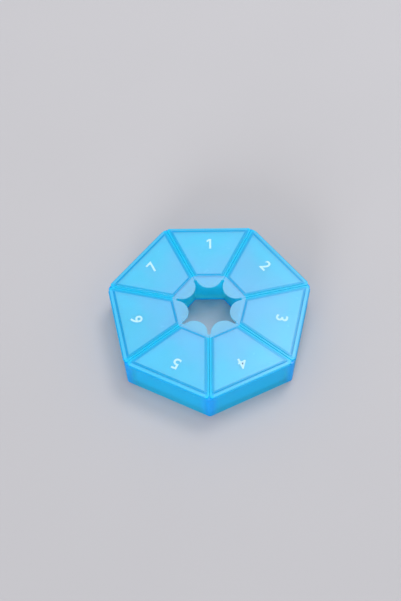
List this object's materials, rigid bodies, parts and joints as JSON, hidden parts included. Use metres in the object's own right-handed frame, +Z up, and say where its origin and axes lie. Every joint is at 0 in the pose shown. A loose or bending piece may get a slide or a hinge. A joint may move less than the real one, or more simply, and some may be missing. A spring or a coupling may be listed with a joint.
{
  "type": "weekly pill box",
  "caption": "Heptagonal ring pill box in translucent blue plastic, with a wedge-shaped pocket for each day under a thumb-tab lid that flips outward on a thin folded hinge.",
  "frame": {"origin": "on the table plane under the box, on the axis of the centre hole", "axes": "+Z up out of the lids; +Y towards the middle of day 1's side at the back; the corner between days 4 and 5 points to -Y at the front; +X to the right"},
  "size_m": [0.1016, 0.0995, 0.02],
  "materials": {
    "tray_plastic": "satin",
    "lid_plastic": "satin",
    "web_plastic": "satin",
    "day_print": "matte"
  },
  "bodies": {
    "tray": {"tray": "tray_plastic", "hinge_web_1": "web_plastic", "hinge_web_2": "web_plastic", "hinge_web_3": "web_plastic", "hinge_web_4": "web_plastic", "hinge_web_5": "web_plastic", "hinge_web_6": "web_plastic", "hinge_web_7": "web_plastic"},
    "lid_1": {"lid_1": "lid_plastic"},
    "lid_2": {"lid_2": "lid_plastic"},
    "lid_3": {"lid_3": "lid_plastic"},
    "lid_4": {"lid_4": "lid_plastic"},
    "lid_5": {"lid_5": "lid_plastic"},
    "lid_6": {"lid_6": "lid_plastic"},
    "lid_7": {"lid_7": "lid_plastic"}
  },
  "joints": [
    {"name": "lid_1_hinge", "type": "hinge", "parent": "tray", "child": "lid_1", "pos_m": [0, 0.0471, 0.01845], "axis": [-1, 0, 0], "range_deg": [0, 180], "deforming": ["hinge_web_1"]},
    {"name": "lid_2_hinge", "type": "hinge", "parent": "tray", "child": "lid_2", "pos_m": [0.03682, 0.02937, 0.01845], "axis": [-0.6235, 0.7818, 0], "range_deg": [0, 180], "deforming": ["hinge_web_2"]},
    {"name": "lid_3_hinge", "type": "hinge", "parent": "tray", "child": "lid_3", "pos_m": [0.04592, -0.01048, 0.01845], "axis": [0.2225, 0.9749, 0], "range_deg": [0, 180], "deforming": ["hinge_web_3"]},
    {"name": "lid_4_hinge", "type": "hinge", "parent": "tray", "child": "lid_4", "pos_m": [0.02044, -0.04244, 0.01845], "axis": [0.901, 0.4339, 0], "range_deg": [0, 180], "deforming": ["hinge_web_4"]},
    {"name": "lid_5_hinge", "type": "hinge", "parent": "tray", "child": "lid_5", "pos_m": [-0.02044, -0.04244, 0.01845], "axis": [0.901, -0.4339, 0], "range_deg": [0, 180], "deforming": ["hinge_web_5"]},
    {"name": "lid_6_hinge", "type": "hinge", "parent": "tray", "child": "lid_6", "pos_m": [-0.04592, -0.01048, 0.01845], "axis": [0.2225, -0.9749, 0], "range_deg": [0, 180], "deforming": ["hinge_web_6"]},
    {"name": "lid_7_hinge", "type": "hinge", "parent": "tray", "child": "lid_7", "pos_m": [-0.03682, 0.02937, 0.01845], "axis": [-0.6235, -0.7818, 0], "range_deg": [0, 180], "deforming": ["hinge_web_7"]}
  ]
}
